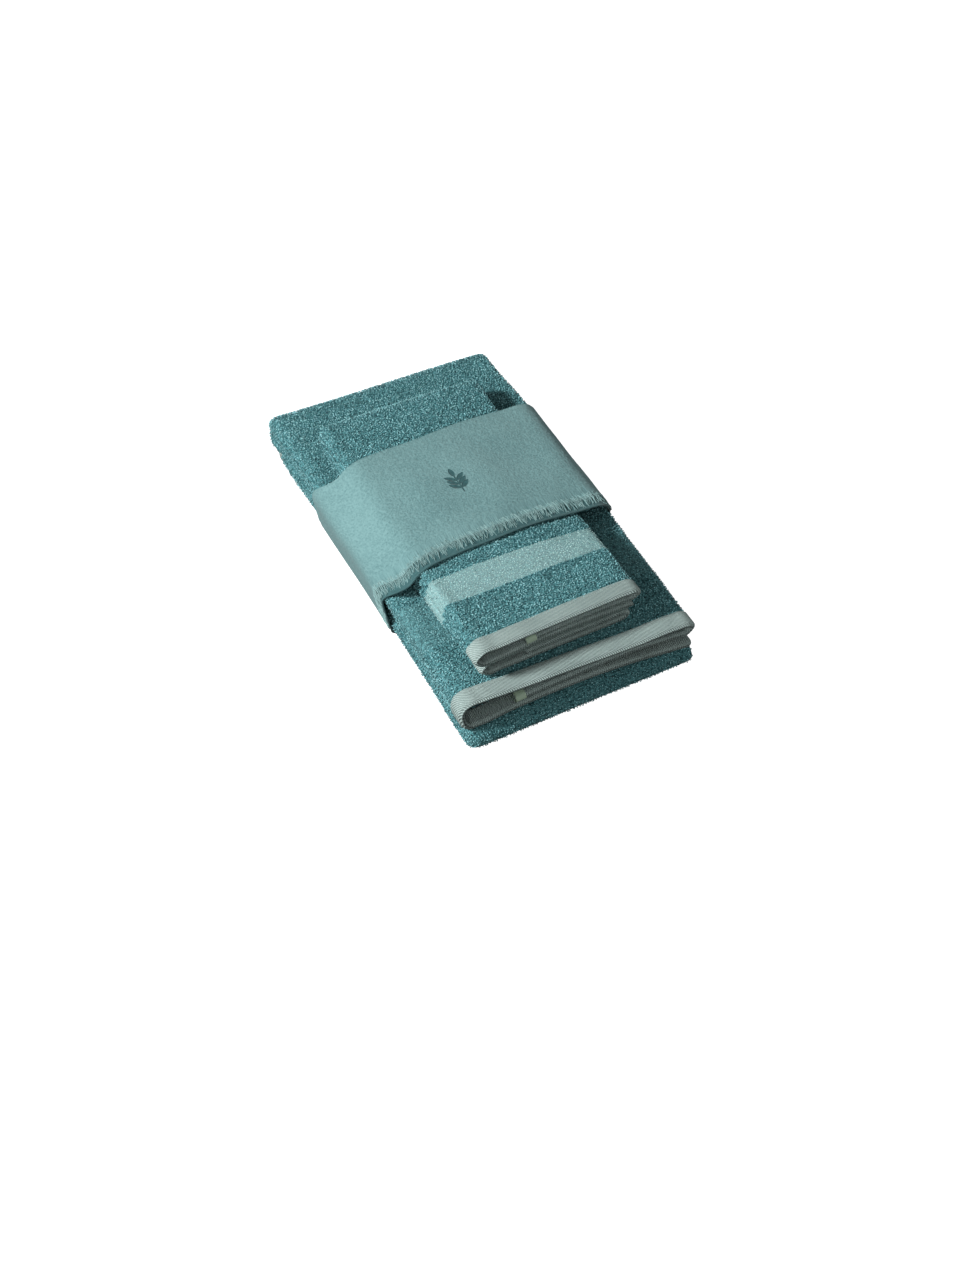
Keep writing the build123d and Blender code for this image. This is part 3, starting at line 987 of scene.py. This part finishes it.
hand_back_bend = hand_high.y - hand_rise / 2 - hand_outer
hand_runs = [
    (hand_upper_low.y, hand_back_bend, hand_upper_high.z - hand_outer),
    (hand_back_bend, hand_lower_low.y, hand_lower_high.z - hand_outer),
]
hand_section = (hand_width, hand_pitch, hand_outer, hand_flap_inset, hand_edge_inset)
hand_fold = fold_line(*hand_section, 0.005, 9)
hand_path = fold_path(hand_runs, 0.005, 10)
hand_length = hand_path[-1, 4]
hand_hem_width = hand_upper_high.y - hand_upper_low.y
hand_towel = terry_sheet(
    "hand_terry_sheet", hand_fold, hand_path, hand_shape, hand_ground_half, hand_hem_width, 0.003
)

# ---- Hand towel hems --------------------------------------------------------------------------
# The same twill binding on both ends, a little thinner than on the bath towel. The fold in half
# brings one above the other at the front.
hand_upper_half = 0.0031
hand_lower_half = 0.0028
hand_fine_fold = fold_line(*hand_section, 0.0010, 36)
hand_hem_upper = hem_piece(
    "hand_upper_binding", hand_fine_fold, hand_shape, hand_path,
    0.0, hand_hem_width + 0.001, hand_upper_half,
)
hand_hem_lower = hem_piece(
    "hand_lower_binding", hand_fine_fold, hand_shape, hand_path,
    hand_length, hand_length - hand_hem_width, hand_lower_half,
)

# ---- Hand towel pile --------------------------------------------------------------------------
# The same cotton loops as on the bath towel, on the same ground. The stripe near each end is much
# paler here, so it shows clearly on top.
hand_stripe_share = 1.0
hand_terry = terry_material("hand_terry_loops", hand_stripe_share)
hand_ground = ground_material("hand_terry_ground", hand_stripe, hand_length, hand_stripe_share)
hand_towel.data.materials.append(hand_ground)
hand_pile = grow_pile(hand_towel, [
    ("hand_pile_sides", lambda at, facing: np.abs(facing[:, 0]) > 0.5),
    ("hand_pile_front", lambda at, facing: at[:, 1] < -0.055),
    ("hand_pile_middle", lambda at, facing: at[:, 1] < 0.060),
    ("hand_pile_back", lambda at, facing: at[:, 1] < 1.0),
], hand_length, hand_stripe, hand_terry, 41)

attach(hand_towel, "hand_towel")
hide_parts("hand_towel_cloth")
for piece in hand_pile:
    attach(piece, "hand_towel")
for piece in (hand_hem_upper, hand_hem_lower):
    piece.data.materials.append(hem_twill)

# ---- Hand towel stitching and label -----------------------------------------------------------
# A sewn row on each folded binding, in the bath towel's thread, and the same blank ribbon over the
# upper one.
hand_top_run = (0.186, 0.340)
hand_under_run = (0.006, 0.156)
hand_hem_upper_stitching = hem_stitches(
    "hand_upper_stitches", hand_fine_fold, hand_shape, hand_path,
    hand_hem_width - stitch_inset, hand_top_run, hand_upper_half,
)
hand_hem_lower_stitching = hem_stitches(
    "hand_lower_stitches", hand_fine_fold, hand_shape, hand_path,
    hand_length - hand_hem_width + stitch_inset, hand_under_run, hand_lower_half,
)
hand_care_label = care_label("hand_satin_label", hand_fine_fold, hand_shape, hand_path, hand_upper_half)
hand_care_label.data.materials.append(label_satin)
for piece, node, slot in (
    (hand_hem_upper, "hand_hem_upper", "hem_twill"), (hand_hem_lower, "hand_hem_lower", "hem_twill"),
    (hand_hem_upper_stitching, "hand_hem_upper_stitching", "hem_thread"),
    (hand_hem_lower_stitching, "hand_hem_lower_stitching", "hem_thread"),
    (hand_care_label, "hand_care_label", "label_satin"),
):
    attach(piece, "hand_towel")
    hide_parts(node)

# ---- Wrap band --------------------------------------------------------------------------------
# A crinkled cotton band with a plain lining, sewn into a ring underneath. It is pulled taut over
# both towels, so it runs straight from the hand towel's edges to the bath towel's sides.
band_low, band_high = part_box("wrap_band")
lining_low, lining_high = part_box("wrap_band_lining")
fringe_low, fringe_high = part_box("wrap_band_fringe")
band_depth = band_high.y - band_low.y
band_half = 0.0003
lining_half = 0.0002
pile_clearance = 0.0022
band_shoulder = (0.1065, 0.0870)
band_softness = 0.0110
band_floor = 0.0012
band_side_shift = 0.022
band_skew = 0.006
band_join_x = 0.060
band_step = 0.0019
ring_stations = 400
crinkle = 0.00013
band_slack = 0.0006
band_edge_wave = 0.0010


def wrapped_round(points):
    """The taut outline of a slice of the towels, as a closed polygon from the bottom, leftwards."""
    points = points[np.lexsort((points[:, 1], points[:, 0]))]
    half = []
    for run in (points, points[::-1]):
        chain = []
        for p in run:
            while len(chain) > 1:
                u, v = chain[-1] - chain[-2], p - chain[-2]
                if u[0] * v[1] - u[1] * v[0] > 0:
                    break
                chain.pop()
            chain.append(p)
        half += chain[:-1]
    return np.array(half)


def grown_outline(outline, margin):
    """The outline moved outwards by a margin, with its corners rounded."""
    turn = np.linspace(0, 2 * math.pi, 25)[:-1]
    circle = margin * np.stack([np.cos(turn), np.sin(turn)], axis=1)
    return wrapped_round((outline[:, None, :] + circle[None, :, :]).reshape(-1, 2))


def even_ring(outline, count):
    """Evenly spaced points round an outline, starting underneath at the join and going leftwards."""
    loop = np.concatenate([outline, outline[:1]])
    length = np.concatenate([[0], np.cumsum(np.linalg.norm(np.diff(loop, axis=0), axis=1))])
    fine = np.linspace(0, length[-1], 6000)[:-1]
    dense = np.stack([np.interp(fine, length, loop[:, 0]), np.interp(fine, length, loop[:, 1])], axis=1)
    under = np.where(dense[:, 1] < dense[:, 1].min() + 0.004)[0]
    start = under[np.argmin(np.abs(dense[under, 0] - band_join_x))]
    dense = np.roll(dense, -start, axis=0)[::-1]
    dense = np.concatenate([dense[-1:], dense])
    pick = np.linspace(0, len(dense) - 1, count).astype(int)
    return dense[pick], length[-1]


def softened(ring, reach):
    """A ring with its corners eased over a reach, still outside the outline that it came from."""
    count = len(ring)
    spacing = np.linalg.norm(np.diff(ring, axis=0), axis=1).mean()
    offset = np.arange(count) * spacing
    weight = np.exp(-0.5 * (np.minimum(offset, count * spacing - offset) / reach) ** 2)
    kernel = np.fft.rfft(weight / weight.sum())

    def blurred(line):
        return np.fft.irfft(np.fft.rfft(line) * kernel, count)

    smoothed = np.stack([blurred(ring[:, 0]), blurred(ring[:, 1])], axis=1)
    tangent = np.roll(smoothed, -1, axis=0) - np.roll(smoothed, 1, axis=0)
    tangent /= np.linalg.norm(tangent, axis=1)[:, None]
    outward = np.stack([-tangent[:, 1], tangent[:, 0]], axis=1)
    short = np.maximum(((ring - smoothed) * outward).sum(axis=1), 0)
    push = 1.42 * blurred(short)
    high = smooth((ring[:, 1] - 0.010) / 0.030)[:, None]
    return ring + (smoothed + outward * push[:, None] - ring) * high


towel_points = np.concatenate([points_of(towel.data) for towel in (bath_towel, hand_towel)])
slice_y = np.linspace(lining_low.y - 0.010, band_high.y + 0.004, 13)
slices, perimeters = [], []
for y in slice_y:
    near = towel_points[np.abs(towel_points[:, 1] - y) < 0.0075][:, [0, 2]]
    near = np.concatenate([near, [band_shoulder]])
    ring_points, perimeter = even_ring(grown_outline(wrapped_round(near), pile_clearance), ring_stations)
    slices.append(softened(ring_points, band_softness))
    perimeters.append(perimeter)
slices = np.array(slices)
slices = np.concatenate([slices[:1], (slices[:-2] + 2 * slices[1:-1] + slices[2:]) / 4, slices[-1:]])
band_perimeter = float(np.mean(perimeters))


def band_shape(steps, out):
    """Where a sheet of the band lies, the given distance outside the towels, at each depth in steps."""
    grid = np.empty((ring_stations, len(steps), 3))
    for k, y in enumerate(steps):
        at = np.clip((y - slice_y[0]) / (slice_y[1] - slice_y[0]), 0, len(slice_y) - 1.001)
        low = int(at)
        ring = slices[low] * (1 - (at - low)) + slices[low + 1] * (at - low)
        ring[:, 1] = np.maximum(ring[:, 1], band_floor)
        tangent = np.gradient(ring, axis=0)
        tangent /= np.linalg.norm(tangent, axis=1)[:, None]
        outward = np.stack([-tangent[:, 1], tangent[:, 0]], axis=1)
        if (outward * (ring - ring.mean(axis=0))).sum() < 0:
            outward = -outward
        slack = band_slack * (1 + ripple(ring[:, 0] * 1.3, y + ring[:, 1], 0.028, 0.9)) * (ring[:, 1] > 0.012)
        ring = ring + outward * (out + slack)[:, None]
        side = band_side_shift * smooth((0.086 - ring[:, 1]) / 0.036) + band_skew * ring[:, 0] / band_high.x
        edge_wave = band_edge_wave * ripple(ring[:, 0], ring[:, 1], 0.03, 0.2)
        grid[:, k] = np.stack([ring[:, 0], y + side + edge_wave, ring[:, 1]], axis=1)
    return grid


ring_across = np.linspace(0, band_perimeter, ring_stations)
lining_out = lining_half
band_out = 2 * lining_half + band_half + 0.0001
band_steps = np.linspace(band_low.y, band_high.y, int(band_depth / band_step))
band_middle = band_shape(band_steps, np.full(ring_stations, band_out))
grain = np.random.default_rng(5).normal(0, crinkle, band_middle.shape[:2])
band_middle[3:-3, :, 2] += grain[3:-3] * (band_middle[3:-3, :, 2] > 0.02)
band_thick = np.full(band_middle.shape[:2], band_half)
wrap_band = sheet_mesh("band_outer_cloth", band_middle, band_thick, ring_across, band_steps - band_low.y)

lining_steps = np.concatenate([
    lining_low.y + np.array([0.0, 0.0003, 0.0007, 0.0012, 0.0018, 0.0026, 0.004]),
    np.linspace(lining_low.y + 0.007, lining_high.y - 0.001, 50),
])
lip = 1 + 3.0 * np.sqrt(np.clip(1 - ((lining_steps - lining_low.y - 0.0009) / 0.0011) ** 2, 0, 1))
lining_middle = band_shape(lining_steps, np.full(ring_stations, lining_out))
lining_thick = np.full(lining_middle.shape[:2], lining_half) * lip[None, :]
lining_thick = np.minimum(lining_thick, np.maximum(lining_half, lining_middle[:, :, 2] - 0.0002))
wrap_band_lining = sheet_mesh(
    "band_lining_cloth", lining_middle, lining_thick, ring_across, lining_steps - lining_low.y
)

band_pale = (0.164, 0.302, 0.306)
band_deep = (0.080, 0.178, 0.186)
# the lining's much darker teal is partly its own colour and partly painted shade under the fringe
lining_pale_shaded = (0.042, 0.115, 0.120)
lining_deep_shaded = (0.022, 0.072, 0.077)
fray_depth = 0.018


def band_material(name, pale, deep, streaked, relief):
    """Crinkled plain-weave cotton; towards the frayed edge its long yarns stand apart as streaks."""
    material, tree, shader = plain_material(name, 0.8, 0.25, 0.1)
    flat = kept_on(tree, "flat_at")[1]
    part = put(tree, "ShaderNodeSeparateXYZ", {0: flat}).outputs
    wrinkle = put(tree, "ShaderNodeTexNoise", {
        "Vector": flat, "Scale": 420.0, "Detail": 5.0, "Roughness": 0.62,
    }).outputs[0]
    cell = put(tree, "ShaderNodeTexVoronoi", {"Vector": flat, "Scale": 480.0}, feature="F1")
    long_way = put(tree, "ShaderNodeCombineXYZ", {
        0: times(tree, part[0], 1500.0), 1: times(tree, part[1], 90.0),
    }).outputs[0]
    near_edge = minus(tree, 1.0, math_of(tree, "DIVIDE", part[1], fray_depth))
    near_edge = put(tree, "ShaderNodeClamp", {0: times(tree, near_edge, 1.6 * streaked)})
    surface = plus(tree, times(tree, wrinkle, 0.7), cell.outputs["Distance"], 0.35)
    mix = put(tree, "ShaderNodeMix", {
        "Factor": near_edge.outputs[0], 2: surface, 3: noise_of(tree, long_way, 0.55, 2.0),
    }, data_type="FLOAT").outputs[0]
    level = swung(tree, mix, noise_of(tree, flat, 14.0, 2.0), 0.35)
    tree.links.new(ramp_of(tree, level, ((0.25, deep), (0.66, pale))), shader.inputs["Base Color"])
    bumped(tree, shader, mix, relief, 0.0014)
    return material


band_cloth = band_material("band_crinkle_cotton", band_pale, band_deep, 1.0, 0.75)
wrap_band.data.materials.append(band_cloth)
# the lining in its dark colours, partly painted shade under the fringe
lining_cotton = band_material("band_lining_cotton", lining_pale_shaded, lining_deep_shaded, 0.0, 0.15)
wrap_band_lining.data.materials.append(lining_cotton)

# ---- Wrap band fringe -------------------------------------------------------------------------
# The band's front edge is left raw: its cotton yarns fray into a fringe that lies on the lining,
# each one bent and turned its own way.
fringe_length = fringe_high.y - fringe_low.y
strand_spacing = 0.00072
strand_radius = 0.00026
strand_wander = 0.0006
strand_root = 0.0065
yarn_pale = (0.300, 0.470, 0.465)
yarn_deep = (0.125, 0.245, 0.245)


def strand_tree():
    """One curved yarn at each step along an edge, pointing away from the cloth."""
    tree, given = new_tree("frayed_edge", [
        ("Spacing", "Float"), ("Length", "Float"), ("Thickness", "Float"), ("Wander", "Float"),
        ("Seed", "Int"), ("Material", "Material"),
    ])
    tip = put(tree, "ShaderNodeCombineXYZ", {1: times(tree, given["Length"], -1.0)}).outputs[0]
    along = put(tree, "GeometryNodeSplineParameter").outputs[0]
    curl = times(tree, sine_of(tree, times(tree, along, 4.4)), given["Wander"])
    bow = put(tree, "ShaderNodeCombineXYZ", {0: curl, 2: times(tree, curl, 0.5)}).outputs[0]
    strand = yarn_along(
        tree, bent_line(tree, (0, strand_root, 0.0002), tip, bow), given["Thickness"], 4, True
    )
    facing = put(tree, "FunctionNodeAxesToRotation", {
        0: named(tree, "outward"), 1: (0.0, 1.0, 0.0),
    }, primary_axis="Z", secondary_axis="Y").outputs[0]
    sway = random_of(tree, (-0.05, -0.8, -0.30), (0.10, 0.8, 0.30), given["Seed"], "FLOAT_VECTOR")
    size = random_of(tree, (0.7, 0.68, 0.7), (1.3, 1.08, 1.2), 3, "FLOAT_VECTOR")
    spaced = points_along(tree, given["Geometry"], given["Spacing"])
    shaded = store(tree, spaced, "shade", random_of(tree, 0.0, 1.0, 8))
    strands = repeated(tree, shaded, strand, leaned(tree, facing, sway), given["Material"], size)
    put(tree, "NodeGroupOutput", {0: strands})
    return tree


def yarn_material(name, pale, deep):
    """Loose cotton yarn, each one a shade of its own."""
    material, tree, shader = plain_material(name, 0.85)
    twist = noise_of(tree, object_place(tree), 1400.0, 2.0)
    level = plus(tree, times(tree, kept_on(tree, "shade")[0], 0.7), twist, 0.4)
    tree.links.new(ramp_of(tree, level, ((0.0, deep), (1.0, pale))), shader.inputs["Base Color"])
    bumped(tree, shader, twist, 0.5, 0.0002)
    return material


frayed_tree = strand_tree()
fringe_yarn = yarn_material("fringe_yarn", yarn_pale, yarn_deep)
edge = surface_line("frayed_edge", band_middle[:, 0], outward_of(band_middle[:, :3])[:, 0])
wrap_band_fringe = grown("band_fringe_strands", edge, frayed_tree, {
    "Spacing": strand_spacing, "Length": fringe_length + 0.002, "Thickness": strand_radius,
    "Wander": strand_wander, "Seed": 2, "Material": fringe_yarn,
})

# ---- Wrap band join ---------------------------------------------------------------------------
# The band's two ends meet underneath and are closed by two rows of cotton stitches that run from
# front to back.
join_row_offset = 0.0023
join_thread_radius = 0.00022
join_thread_teal = (0.20, 0.33, 0.33)
band_thread = thread_material("band_thread", join_thread_teal)
ring_step = band_perimeter / (ring_stations - 1)
band_outward = outward_of(band_middle)
join_rows = []
rows_aside = round(join_row_offset / ring_step)
for number, row in enumerate((rows_aside, -1 - rows_aside)):
    line = surface_line(f"join_row_{number}", band_middle[row], band_outward[row])
    join_rows.append(grown(f"join_stitches_{number}", line, sewing_tree, {
        "Stitch length": stitch_length, "Stitch pitch": stitch_pitch,
        "Thread radius": join_thread_radius, "Material": band_thread,
    }))


def joined(name, pieces):
    """Several meshes made into one piece."""
    with bpy.context.temp_override(active_object=pieces[0], selected_editable_objects=pieces):
        bpy.ops.object.join()
    pieces[0].name = pieces[0].data.name = name
    return pieces[0]


wrap_band_join_stitching = joined("band_join_stitches", join_rows)

# ---- Wrap band print --------------------------------------------------------------------------
# A small sprig in dark ink on the top of the band: a stem, three pairs of leaves and one at the
# tip, each a thin film on the cloth.
print_low, print_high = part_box("wrap_band_print")
sprig_length = print_high.y - print_low.y
leaf_length = sprig_length * 0.36
leaf_width = leaf_length * 0.40
stem_width = 0.0012
leaf_angle = math.radians(50)
print_half = 0.00012
ink_pale = (0.030, 0.095, 0.100)
ink_deep = (0.014, 0.055, 0.058)


def printed_shape(name, start, angle, length, widths):
    """A flat shape on the band from a start point: its width at even steps along its length."""
    count = len(widths)
    middle = np.empty((count, 5, 3))
    for i, width in enumerate(widths):
        for j in range(5):
            out, side = length * i / (count - 1), width * (j / 4 - 0.5)
            x = start[0] - out * math.sin(angle) + side * math.cos(angle)
            y = start[1] + out * math.cos(angle) + side * math.sin(angle)
            hit = under_print.ray_cast(Vector((x, y, 0.2)), Vector((0, 0, -1)))[0]
            middle[i, j] = (x, y, hit.z + print_half)
    thick = np.full(middle.shape[:2], print_half)
    return sheet_mesh(name, middle, thick, np.linspace(0, length, count), np.linspace(0, 0.001, 5))


band_faces = [tuple(face.vertices) for face in wrap_band.data.polygons]
under_print = BVHTree.FromPolygons([v.co for v in wrap_band.data.vertices], band_faces)
sprig_x = (print_low.x + print_high.x) / 2
leaf_widths = leaf_width * np.clip(np.sin(np.linspace(0, math.pi, 13)), 0.04, 1) ** 0.8
stem_reach = sprig_length - leaf_length
sprig = [printed_shape("stem", (sprig_x, print_low.y), 0.0, stem_reach, np.full(16, stem_width))]
sprig.append(printed_shape("tip_leaf", (sprig_x, print_low.y + stem_reach), 0.0, leaf_length, leaf_widths))
for pair in range(3):
    for way in (1, -1):
        root = (sprig_x, print_low.y + stem_reach * (pair + 1) / 4)
        sprig.append(printed_shape("leaf", root, way * leaf_angle, leaf_length, leaf_widths))
wrap_band_print = joined("band_sprig_print", sprig)
print_ink = band_material("band_print", ink_pale, ink_deep, 0.0, 0.2)
wrap_band_print.data.materials.append(print_ink)

for piece, node, slot in (
    (wrap_band, "wrap_band", "band_cloth"), (wrap_band_lining, "wrap_band_lining", "band_lining"),
    (wrap_band_fringe, "wrap_band_fringe", "band_fringe"),
    (wrap_band_join_stitching, "wrap_band_join_stitching", "hem_thread"),
    (wrap_band_print, "wrap_band_print", "band_print"),
):
    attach(piece, "wrap_band")
    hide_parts(node)

# ---- Floor, lights and camera -----------------------------------------------------------------
# A plain white floor, a low window-like light from the left, and soft ones from the front and the
# right. The camera looks down from the front left through a long lens.
floor_size = 60
floor_grey = 0.45
floor_glow = 1.05
world_strength = 0.12
bpy.ops.mesh.primitive_plane_add(size=floor_size)
floor = bpy.context.object
floor.name = "floor"
floor_white, _, floor_shader = plain_material("floor_white", 1.0, 0.0)
floor_shader.inputs["Base Color"].default_value = (floor_grey, floor_grey, floor_grey, 1)
floor_shader.inputs["Emission Color"].default_value = (1, 1, 1, 1)
floor_shader.inputs["Emission Strength"].default_value = floor_glow
floor.data.materials.append(floor_white)
floor.visible_diffuse = False
floor.visible_glossy = False


def soft_light(name, toward, distance, size, power):
    """A square lamp that faces the middle of the towels from the given direction."""
    lamp = bpy.data.lights.new(name, "AREA")
    lamp.size = size
    lamp.energy = power
    lamp_object = placed(name, lamp)
    direction = Vector(toward).normalized()
    lamp_object.location = direction * distance
    lamp_object.rotation_mode = "QUATERNION"
    lamp_object.rotation_quaternion = direction.to_track_quat("Z", "Y")


soft_light("window_light", (-0.91, 0.05, 0.74), 3.0, 0.40, 126)
soft_light("front_light", (-0.45, -1.0, 0.75), 2.5, 2.0, 19)
soft_light("side_light", (1.0, 0.30, 0.12), 3.0, 1.5, 26)

world = bpy.data.worlds.new("studio")
bpy.context.scene.world = world
world.use_nodes = True
background = world.node_tree.nodes["Background"]
background.inputs["Color"].default_value = (1, 1, 1, 1)
background.inputs["Strength"].default_value = world_strength
bpy.context.scene.view_settings.view_transform = "Standard"

camera_azimuth = math.radians(-26.2)
camera_elevation = math.radians(46.0)
camera_distance = 2.372
camera_lens = 70.3125
camera_target = Vector((-0.0583, -0.1392, 0.0353))
away = Vector((
    math.sin(camera_azimuth) * math.cos(camera_elevation),
    -math.cos(camera_azimuth) * math.cos(camera_elevation),
    math.sin(camera_elevation),
))
camera = bpy.data.cameras.new("camera")
camera.sensor_fit = "VERTICAL"
camera.sensor_height = 36
camera.lens = camera_lens
camera_object = placed("camera", camera)
camera_object.location = camera_target + away * camera_distance
camera_object.rotation_mode = "QUATERNION"
camera_object.rotation_quaternion = away.to_track_quat("Z", "Y")
bpy.context.scene.camera = camera_object
